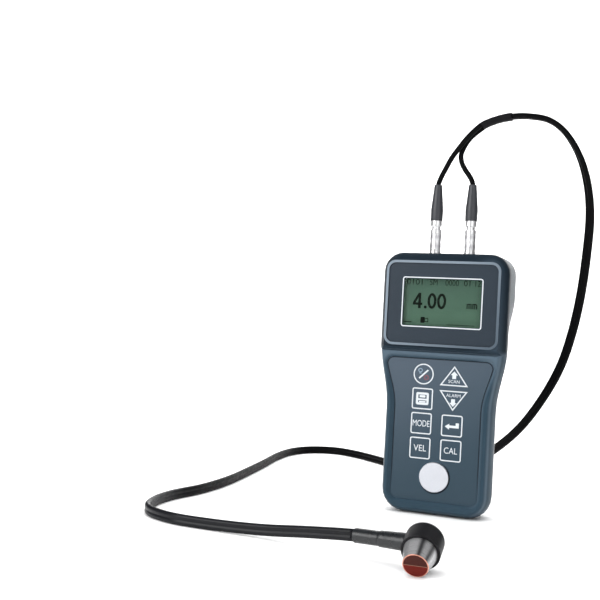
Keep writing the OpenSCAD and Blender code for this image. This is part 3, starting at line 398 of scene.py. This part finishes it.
def lathe(profile, steps):
    """Closed round solid: the profile, as radius and height in millimetres, is spun about the z axis."""
    bm = bmesh.new()
    ring = [bm.verts.new((r * mm, 0, z * mm)) for r, z in profile]
    edges = [bm.edges.new((ring[k - 1], ring[k])) for k in range(len(ring))]
    bmesh.ops.spin(bm, geom=ring + edges, axis=(0, 0, 1), cent=(0, 0, 0), angle=2 * math.pi, steps=steps,
                   use_merge=True)
    bmesh.ops.remove_doubles(bm, verts=bm.verts, dist=0.0005 * mm)
    return bm


def band(value, centre, reach):
    """One at the centre of a band, falling smoothly to nothing at its reach."""
    away = value - centre
    return ramp(away.node("Math", {0: away}, operation="ABSOLUTE"), 0, reach, 1, 0)


nickel, spot = material("nickel", Metallic=0.95)
brush = noise(spot, 1.0, 3, (0.2, 0.2, 9))
height = axis(spot, "Z")
knurl_shade = band(height, 154.0, 2.2) + band(height, 159.4, 2.2)
wire(nickel, Base_Color=mix(knurl_shade, mix(brush, paint("e2e2e4"), paint("eeeeef")), paint("c6c6c9")),
     Roughness=spread(brush, 0.28, 0.4), height=brush, depth=0.004)
rubber, spot = material("boot_rubber", IOR=1.5)
dust = noise(spot, 0.4, 3)
wire(rubber, Base_Color=mix(dust, paint("26282c"), paint("34363b")), Roughness=spread(dust, 0.36, 0.48),
     height=noise(spot, 5, 3), depth=0.02)
bore_r, land_r, sleeve_r = 2.5, 3.05, 3.2
sleeve_foot, collar_foot, sleeve_top = 151.45, 161.12, 163.65
knurl_bands = ((152.18, 155.84), (157.31, 160.97))
knurls, knurl_rows, knurl_depth = 60, 9, 0.012
ease, chamfer, slack = 0.05, 0.15, 0.01
for side, hand in (("left", -1), ("right", 1)):
    profile = [(bore_r, sleeve_foot), (land_r - ease, sleeve_foot), (land_r, sleeve_foot + ease)]
    for low, high in knurl_bands:
        crests = [(sleeve_r, low + (high - low) * k / knurl_rows) for k in range(knurl_rows + 1)]
        profile += [(land_r, low), *crests, (land_r, high)]
    profile += [(land_r, collar_foot), (sleeve_r, collar_foot + chamfer), (sleeve_r, sleeve_top - chamfer),
                (land_r, sleeve_top), (bore_r, sleeve_top)]
    bm = lathe(profile, knurls)
    for v in bm.verts:
        level = v.co.z / mm
        row = [round((level - low) / (high - low) * knurl_rows)
               for low, high in knurl_bands if low - slack < level < high + slack]
        if row and math.hypot(v.co.x, v.co.y) > (sleeve_r - ease) * mm:
            column = round(math.atan2(v.co.y, v.co.x) / (2 * math.pi) * knurls)
            v.co.xy *= 1 - knurl_depth * ((column + row[0]) % 2)
    bmesh.ops.translate(bm, vec=(hand * plug_x * mm, plug_y * mm, 0), verts=bm.verts)
    knurled = piece(f"knurled_sleeve_{side}", bm, nickel, body=f"release_sleeve_{side}", smooth=False)
    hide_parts(f"release_sleeve_{side}")
    keep(f"socket_{side}", nickel, bevel=0.15)
    keep(f"plug_{side}", nickel, bevel=0.1)
    keep(f"boot_{side}", rubber, bevel=0.2)
keep("socket_nuts", nickel, bevel=0.15)

# Probe
# A turned steel nose carries two red-brown delay blocks, split by a thin barrier, in a satin black moulded cap.
# The lead enters the cap from the side through a stepped rubber strain relief.
probe_nose = Vector((31.5, -157.6, 5.2072)) * mm
probe_axis = Vector((0.0478113, -0.9122935, -0.4067366))


def along_probe(place):
    """Distance behind the wear face in millimetres, and angle round the axis from its top, to the right, in radians."""
    offset = place.node("VectorMath", {0: place, 1: probe_nose / mm}, operation="SUBTRACT")
    right = probe_axis.cross(Vector((0, 0, -1))).normalized()
    depth, across, above = [place.node("VectorMath", {0: offset, 1: d}, out="Value", operation="DOT_PRODUCT")
                            for d in (-probe_axis, right, probe_axis.cross(right))]
    return depth, across.node("Math", {0: across, 1: above}, operation="ARCTAN2")


steel, spot = material("turned_steel", Metallic=0.85)
depth, angle = along_probe(spot)
rings = depth.node("TexNoise", {"W": depth, "Scale": 7.0, "Detail": 3}, noise_dimensions="1D")
# Painted reflections: bands of light and dark round the axis stand in for the studio mirrored in the turned steel, so
# they stay put whatever the light.
shade = (band(angle, 0.25, 0.3) + band(angle, 0.95, 0.25) * 0.8 + band(angle, 1.7, 0.8) * 0.55
         + band(angle, -1.3, 0.3) * 0.6)
painted_reflections = mix(shade, paint("d6d6d8"), paint("525254"))
lip = 0.2
wire(steel, Base_Color=mix(depth < lip, painted_reflections, paint("e0a08c")), Roughness=spread(rings, 0.26, 0.4),
     height=rings, depth=0.02)
keep("probe_case", steel, bevel=0.08)
cap_plastic, spot = material("cap_plastic", IOR=1.5, Specular_IOR_Level=0.16)
grain = noise(spot, 4, 3)
wire(cap_plastic, Base_Color=mix(grain, paint("0c0c0e"), paint("17171a")), Roughness=spread(grain, 0.4, 0.55),
     height=grain, depth=0.03)
keep("probe_cap", cap_plastic, bevel=0.2)
moulding, spot = material("probe_boot_rubber", IOR=1.5, Specular_IOR_Level=0.5)
dust = noise(spot, 0.4, 3)
wire(moulding, Base_Color=mix(dust, paint("121416"), paint("1a1c20")), Roughness=spread(dust, 0.26, 0.36),
     height=noise(spot, 5, 3), depth=0.02)
keep("probe_boot", moulding, bevel=0.2)
for name, dark, light in (("delay_block_upper", "3a1c18", "47241f"), ("delay_block_lower", "5a1a14", "6b211a")):
    resin, spot = material(name + "_resin", IOR=1.35, Specular_IOR_Level=0.15)
    blush = noise(spot, 0.5, 3)
    wire(resin, Base_Color=mix(blush, paint(dark), paint(light)), Roughness=spread(blush, 0.4, 0.55),
         height=noise(spot, 8, 2), depth=0.004)
    keep(name, resin, bevel=0.05)
cork, spot = material("barrier_cork", Roughness=0.85)
wire(cork, Base_Color=mix(noise(spot, 6, 3), paint("6d4a3c"), paint("845d4c")), height=noise(spot, 6, 3), depth=0.02)
keep("acoustic_barrier", cork)
ceramic, spot = material("crystal_ceramic", Roughness=0.5)
wire(ceramic, Base_Color=mix(noise(spot, 3), paint("b9a98c"), paint("c9bda6")))
keep("crystals", ceramic)

# Case
# Two moulded halves of dark slate plastic with a fine spark-eroded grain, closed from behind by four screws.
# The battery door slides down out of its rails, and five grooves give the thumb a hold.
rim_front, crest_front, flank_front = -15.6, -14.6, -12.9
head_foot = 92.3
front_plastic, spot = material("front_plastic", IOR=1.48, Specular_IOR_Level=0.14)
grain = noise(spot, 3.2, 3)
across, forward, height = [axis(spot, name) for name in "XYZ"]
# Painted highlights: the head's right side towards the front, the grip's shoulder under the head and the crest on its
# right are drawn lighter where light would catch them.
right = ramp(across, 18, 30)
head = mix(right * ramp(forward, -11, rim_front), paint("141f28"), paint("2b3843"))
head = mix(ramp(height, head_foot + 3, head_foot), head, paint("3a4752"))
painted_highlight = (ramp(height, 70, 90) * ramp(forward, crest_front + 1.8, crest_front) * 0.65
            + right * band(forward, flank_front, 1.7) * 0.6)
grip = mix(painted_highlight, mix(noise(spot, 0.05), paint("253844"), paint("2e414e")), paint("586875"))
# The rim round the overlay is drawn lighter than the shell, and a painted highlight makes it lighter still towards the
# top left.
rim = mix(ramp(height - across, 60, 150), paint("4a5661"), paint("77838e"))
shell = mix(ramp(height, head_foot - 0.2, head_foot + 0.2), grip, head)
wire(front_plastic, Base_Color=mix(ramp(forward, rim_front, rim_front - 0.2), shell, rim),
     Roughness=spread(grain, 0.32, 0.46), height=grain, depth=0.015)
rear_plastic, spot = material("rear_plastic", IOR=1.48, Specular_IOR_Level=0.24)
grain = noise(spot, 3.2, 3)
wire(rear_plastic, Base_Color=mix(noise(spot, 0.05), paint("1c2a35"), paint("263743")),
     Roughness=spread(grain, 0.32, 0.46), height=grain, depth=0.015)
keep("front_shell", front_plastic, bevel=0.3)
keep("rear_shell", rear_plastic)
keep("battery_door", rear_plastic, bevel=0.2)
zinc, spot = material("black_zinc", Metallic=1.0)
wire(zinc, Base_Color=mix(noise(spot, 2), paint("3a3a3d"), paint("545458")),
     Roughness=spread(noise(spot, 3), 0.3, 0.5))
keep("case_screws", zinc, bevel=0.1)

# Display
# A printed polycarbonate overlay frames a clear window, behind which a green liquid-crystal cell shows the reading.
# The white line is printed on the overlay, and the characters are the cell's own dark segments.
overlay_front, cell_front = -15.3, -12.625
window, window_w, window_h = (0.0, 120.4), 46.6, 28.6


def rounded(width, height, radius, centre=(0, 0), steps=5):
    """Outline of a rectangle with round corners, in millimetres."""
    made = []
    for k, (sx, sz) in enumerate(((1, -1), (1, 1), (-1, 1), (-1, -1))):
        for j in range(steps + 1):
            a = math.radians(90 * (k - 1) + 90 * j / steps)
            made.append((centre[0] + sx * (width / 2 - radius) + radius * math.cos(a),
                         centre[1] + sz * (height / 2 - radius) + radius * math.sin(a)))
    return made


def ink_and_shadow_layer(name, outlines, front, finish, body="gauge", line=0.0, thick=0.03):
    """Thin layer on a face that looks forward, for ink and for painted shadow: filled outlines, or lines of one width
    along them.
    """
    bm = bmesh.new()
    for outline in outlines:
        face = bm.faces.new([bm.verts.new((x * mm, front * mm, z * mm)) for x, z in outline])
        face.normal_update()
        if line:
            bmesh.ops.inset_region(bm, faces=[face], thickness=line * mm, use_even_offset=True, use_boundary=True)
            bmesh.ops.delete(bm, geom=[face], context="FACES")
    raised = bmesh.ops.extrude_face_region(bm, geom=bm.faces[:], use_keep_orig=True)["geom"]
    bmesh.ops.translate(bm, vec=(0, -thick * mm, 0), verts=[v for v in raised if isinstance(v, bmesh.types.BMVert)])
    return piece(name, bm, finish, body=body, smooth=False)


def lettering(name, words, centre, size, front, finish, body="gauge", thick=0.03):
    """Characters on a face that looks forward, fitted to a width and a height in millimetres."""
    text = bpy.data.curves.new(name, "FONT")
    text.body = words
    text.extrude = 0.01
    text.resolution_u = 6
    holder = bpy.data.objects.new(name + "_text", text)
    scene.collection.objects.link(holder)
    mesh = bpy.data.meshes.new_from_object(holder.evaluated_get(bpy.context.evaluated_depsgraph_get()))
    bpy.data.objects.remove(holder)
    bm = bmesh.new()
    bm.from_mesh(mesh)
    low = Vector([min(v.co[k] for v in bm.verts) for k in range(3)])
    high = Vector([max(v.co[k] for v in bm.verts) for k in range(3)])
    wanted = (size[0] * mm, size[1] * mm, thick * mm)
    fit = Matrix.Diagonal((*[wanted[k] / (high[k] - low[k]) for k in range(3)], 1))
    place = Matrix.Translation((centre[0] * mm, (front - thick / 2) * mm, centre[1] * mm))
    stand = Matrix.Rotation(math.pi / 2, 4, "X")
    bmesh.ops.transform(bm, matrix=place @ stand @ fit @ Matrix.Translation(-(low + high) / 2), verts=bm.verts)
    return piece(name, bm, finish, body=body, smooth=False)


overlay_print, spot = material("overlay_print", IOR=1.5, Specular_IOR_Level=0.25)
pebble = noise(spot, 5, 2)
wire(overlay_print, Base_Color=mix(noise(spot, 0.04), paint("1c2731"), paint("212c37")),
     Roughness=spread(pebble, 0.34, 0.46), height=pebble, depth=0.008)
keep("display_overlay", overlay_print, bevel=0.15)
white_ink, spot = material("white_ink", Roughness=0.55)
wire(white_ink, Base_Color=mix(noise(spot, 1.2, 3), paint("bfc5ca"), paint("d3d8dc")))
window_line = ink_and_shadow_layer("window_line", [rounded(window_w, window_h, 1.5, window)], overlay_front, white_ink, line=0.6)

clear, spot = material("clear_window", IOR=1.49, Alpha=0.12)
wire(clear, Base_Color=mix(noise(spot, 0.3), paint("0e1310"), paint("141a16")),
     Roughness=spread(noise(spot, 0.5), 0.04, 0.09))
keep("display_window", clear, bevel=0.1)
cell, spot = material("liquid_crystal", IOR=1.4, Roughness=0.45, Specular_IOR_Level=0.15)
dot_pitch, dot_gap = 0.36, 0.14
across, height = axis(spot, "X"), axis(spot, "Z")
gaps = [spot.node("Math", {0: line * (1 / dot_pitch)}, operation="FRACT") < dot_gap for line in (across, height)]
grid = spot.node("Math", {0: gaps[0], 1: gaps[1]}, operation="MAXIMUM")
# Painted shade and light on the cell: darker towards the top, as under the window's frame, and lighter along its left
# edge.
painted_top_shade = ramp(height, 104, 136)
painted_light_and_shade = mix(ramp(across, -18, -23) * 0.4, mix(painted_top_shade, paint("557562"), paint("4e6a5c")), paint("809c8b"))
wire(cell, Base_Color=mix(grid * 0.15, painted_light_and_shade, paint("3d5147")))
keep("lcd_glass", cell)
segment, spot = material("dark_segment", Roughness=0.5, Specular_IOR_Level=0.05)
wire(segment, Base_Color=mix(noise(spot, 2), paint("0b110d"), paint("121a14")))
faint, spot = material("faint_segment", Roughness=0.5, Specular_IOR_Level=0.05)
wire(faint, Base_Color=mix(noise(spot, 2), paint("1e2b23"), paint("26352b")))
left, top = window[0] - window_w / 2, window[1] + window_h / 2


def shape(centre, points):
    """Outline moved to a centre."""
    return [(centre[0] + x, centre[1] + z) for x, z in points]


def oval(width, height, steps=40):
    """Outline of an ellipse."""
    turns = [2 * math.pi * k / steps for k in range(steps)]
    return [(width / 2 * math.cos(a), height / 2 * math.sin(a)) for a in turns]


four = [[(0.4, -4.4), (1.9, -4.4), (1.9, 4.4), (0.4, 4.4)], [(1.9, -2.5), (2.8, -2.5), (2.8, -1.2), (1.9, -1.2)],
        [(-2.8, -2.5), (0.4, -2.5), (0.4, -1.2), (-1.2, -1.2), (0.4, 2.0), (0.4, 4.4), (-2.8, -1.1)]]
letter_m = [(-1.4, -1.5), (-0.8, -1.5), (-0.8, 0.9), (-0.3, 0.9), (-0.3, -1.5), (0.3, -1.5), (0.3, 0.9),
            (0.8, 0.9), (0.8, -1.5), (1.4, -1.5), (1.4, 1.0), (0.9, 1.5), (-1.4, 1.5)]
reading = top - 13.4
for name, outlines, ink, line in (
        ("reading_4", [shape((left + 8.6, reading), stroke) for stroke in four], segment, 0),
        ("reading_point", [shape((left + 13.2, reading - 3.6), rounded(1.5, 1.6, 0.4))], segment, 0),
        ("reading_0", [shape((left + x, reading), oval(5.2, 8.9)) for x in (17.0, 22.6)], segment, 1.4),
        ("unit", [shape((left + x, top - 15.6), letter_m) for x in (38.5, 41.7)], segment, 0),
        ("battery", [shape((left + 12.0, top - 24.4), rounded(2.4, 3.3, 0.2))], segment, 0),
        ("battery_charge", [shape((left + 14.2, top - 24.4), rounded(2.4, 2.4, 0.2))], faint, 0.5),
        ("underline", [shape((left + 3.4, top - 25.8), rounded(4.2, 0.5, 0.1))], segment, 0),
        ("rule", [shape((left + 34.0, top - 26.5), rounded(16.0, 0.3, 0.1))], segment, 0)):
    ink_and_shadow_layer("lcd_" + name, outlines, cell_front, ink, line=line)
status, status_h = top - 2.7, 3.3
for name, words, x, width in (
        ("counter", "0101", 6.3, 9.2), ("probe", "5M", 17.5, 4.4), ("memory", "0000", 28.2, 7.8),
        ("file", "01", 36.8, 3.6), ("record", "12", 43.0, 3.0)):
    lettering("lcd_" + name, words, (left + x, status), (width, status_h), cell_front, faint)
guide, spot = material("light_guide", Roughness=0.4)
wire(guide, Base_Color=mix(noise(spot, 0.5), paint("d4d6d2"), paint("e2e4e0")))
keep("lcd_frame", guide)

# Keypad
# A satin film with eight keys is stuck in the tray of the front half, its key lines and legends printed in white.
# A painted shadow lies as a thin dark line along its edge and as a ring round the bright steel disc, the test block on
# which the probe is zeroed.
film_front = -13.0
columns = (-8.9, 8.9)
rows = (79.5, 65.5, 51.5, 37.5)
film_print, spot = material("keypad_film", IOR=1.5, Specular_IOR_Level=0.25)
across, height = axis(spot, "X"), axis(spot, "Z")
pebble = noise(spot, 4, 2)
lit = ramp(height - across * 0.4, 20, 105)
wire(film_print, Base_Color=mix(lit, paint("2a3c48"), paint("434f5b")),
     Roughness=spread(pebble, 0.38, 0.5), height=pebble, depth=0.01)
film = keep("keypad_overlay", film_print)
bm = bmesh.new()
bm.from_mesh(film.data)
bmesh.ops.remove_doubles(bm, verts=bm.verts, dist=weld_gap)
front_faces = {f for f in bm.faces if f.normal.y < -0.9}
border = [e for e in bm.edges if len(front_faces.intersection(e.link_faces)) == 1]
corner = max((v for e in border for v in e.verts), key=lambda v: v.co.z)
walk = []
while corner and corner not in walk:
    walk.append(corner)
    beside = [e.other_vert(corner) for e in border if corner in e.verts]
    corner = next((v for v in beside if v not in walk), None)
film_outline = [(v.co.x / mm, v.co.z / mm) for v in walk]
bm.free()
# Painted shadow: a thin dark line along the film's edge stands in for the shade of the tray's recess, fading lighter
# towards the bottom.
edge_shadow, spot = material("edge_shadow", Roughness=0.6, Specular_IOR_Level=0.2)
dark_edge = mix(noise(spot, 0.3), paint("121c25"), paint("18242e"))
wire(edge_shadow, Base_Color=mix(ramp(axis(spot, "Z"), 8, 30), paint("2f414e"), dark_edge))
ink_and_shadow_layer("keypad_edge_shadow", [film_outline], film_front, edge_shadow, line=0.5)
red_ink, spot = material("red_ink", Roughness=0.55)
wire(red_ink, Base_Color=mix(noise(spot, 1.2), paint("593741"), paint("67424c")))
blue_ink, spot = material("blue_ink", Roughness=0.55)
wire(blue_ink, Base_Color=mix(noise(spot, 1.2), paint("74889a"), paint("8599a8")))

up_arrow = [(-1.1, -1.9), (1.1, -1.9), (1.1, 0.2), (2.1, 0.2), (0, 2.3), (-2.1, 0.2), (-1.1, 0.2)]
down_arrow = [(-x, -z) for x, z in up_arrow]
return_arrow = [(-4.0, -0.5), (-1.5, -2.2), (-1.5, -1.15), (4.0, -1.15), (4.0, 1.7), (2.2, 1.7), (2.2, 0.2),
                (-1.5, 0.2), (-1.5, 1.2)]
slash = [(-2.8, -2.2), (-2.2, -2.8), (2.9, 2.1), (2.3, 2.7)]
square = rounded(12.1, 12.1, 1.2)
up_triangle = [(-8.1, -5.65), (8.1, -5.65), (0, 5.65)]
down_triangle = [(-8.1, 5.65), (0, -5.65), (8.1, 5.65)]
key_line = 0.65
for name, column, row, outline, marks, legend, size, drop in (
        ("power", 0, 0, oval(11.8, 11.8), [slash], None, None, 0),
        ("up", 1, 0, up_triangle, [shape((0, 0.3), up_arrow)], "SCAN", (6.4, 1.7), -3.1),
        ("save", 0, 1, square, [], None, None, 0),
        ("down", 1, 1, down_triangle, [shape((0, -0.9), down_arrow)], "ALARM", (8.2, 1.7), 3.0),
        ("mode", 0, 2, square, [], "MODE", (9.9, 3.5), 0),
        ("enter", 1, 2, square, [return_arrow], None, None, 0),
        ("velocity", 0, 3, square, [], "VEL", (7.4, 3.5), 0),
        ("calibrate", 1, 3, square, [], "CAL", (7.6, 3.5), 0)):
    body = "key_" + name
    centre = (columns[column], rows[row])
    keep(body, film_print, bevel=0.04)
    key_prints = [ink_and_shadow_layer(f"{body}_line", [shape(centre, outline)], film_front, white_ink, body=body, line=key_line)]
    if marks:
        moved = [shape(centre, mark) for mark in marks]
        key_prints.append(ink_and_shadow_layer(f"{body}_mark", moved, film_front, white_ink, body=body))
    if legend:
        place = (centre[0], centre[1] + drop)
        key_prints.append(lettering(f"{body}_legend", legend, place, size, film_front, white_ink, body=body))
for key, row, name, at, outline, ink, line in (
        ("key_power", 0, "bulb", (-1.9, 2.1), oval(2.6, 2.4, 20), blue_ink, 0.45),
        ("key_power", 0, "socket", (-1.9, 0.5), rounded(1.3, 0.5, 0.1), blue_ink, 0),
        ("key_power", 0, "off", (1.7, -1.9), oval(3.2, 3.2, 20), red_ink, 0.9),
        ("key_save", 1, "edge", (0, 0), rounded(7.4, 7.0, 0.9), white_ink, 1.25),
        ("key_save", 1, "label", (0, 1.3), rounded(3.4, 1.3, 0.4), white_ink, 0),
        ("key_save", 1, "bar", (0, -0.45), rounded(5.0, 1.0, 0.1), white_ink, 0),
        ("key_save", 1, "shutter", (0, -1.75), rounded(3.8, 0.8, 0.1), white_ink, 0)):
    placed = shape((columns[0], rows[row]), shape(at, outline))
    ink_and_shadow_layer(f"{key}_{name}", [placed], film_front, ink, body=key, line=line)

block_centre, gap_d, gap_line = (0.0, 21.75), 18.7, 0.8
# Painted shadow: the ring round the disc is darkest on its lower right, where the raised disc would cast its shadow,
# and fades towards the film's tone on the upper left.
gap_shadow, spot = material("gap_shadow", Roughness=0.6, Specular_IOR_Level=0.1)
across, height = axis(spot, "X"), axis(spot, "Z")
shadow = ramp(across * 0.8 - height * 0.6, -18, -8)
wire(gap_shadow, Base_Color=mix(shadow, paint("3a4a56"), paint("0e151b")))
gap_ring = shape(block_centre, oval(gap_d, gap_d, 60))
ink_and_shadow_layer("test_block_gap", [gap_ring], film_front, gap_shadow, line=gap_line)
lapped, spot = material("lapped_steel", Metallic=1.0)
swirl = noise(spot, 2.2, 4)
wire(lapped, Base_Color=mix(swirl, paint("c6c9d0"), paint("d8dae0")), Roughness=spread(swirl, 0.3, 0.42),
     height=swirl, depth=0.004)
keep("test_block", lapped, bevel=0.1)

# Inside
# The circuit board, green laminate, carries the snap domes and the display's carrier.
# Two cells in printed film lie behind it between plated spring contacts. None of it shows in the closed case.
laminate, spot = material("board_laminate", IOR=1.5)
wire(laminate, Base_Color=mix(noise(spot, 0.8, 3), paint("14402a"), paint("1d5236")),
     Roughness=spread(noise(spot, 2), 0.3, 0.45))
keep("main_board", laminate)
keep("key_domes", nickel)
keep("battery_contacts", nickel)
wrapper, spot = material("cell_wrapper", IOR=1.5)
wire(wrapper, Base_Color=mix(ramp(axis(spot, "Z"), 52, 53), paint("20262b"), paint("8a6a34")),
     Roughness=spread(noise(spot, 1), 0.25, 0.35))
keep("battery_1", wrapper)
keep("battery_2", wrapper)
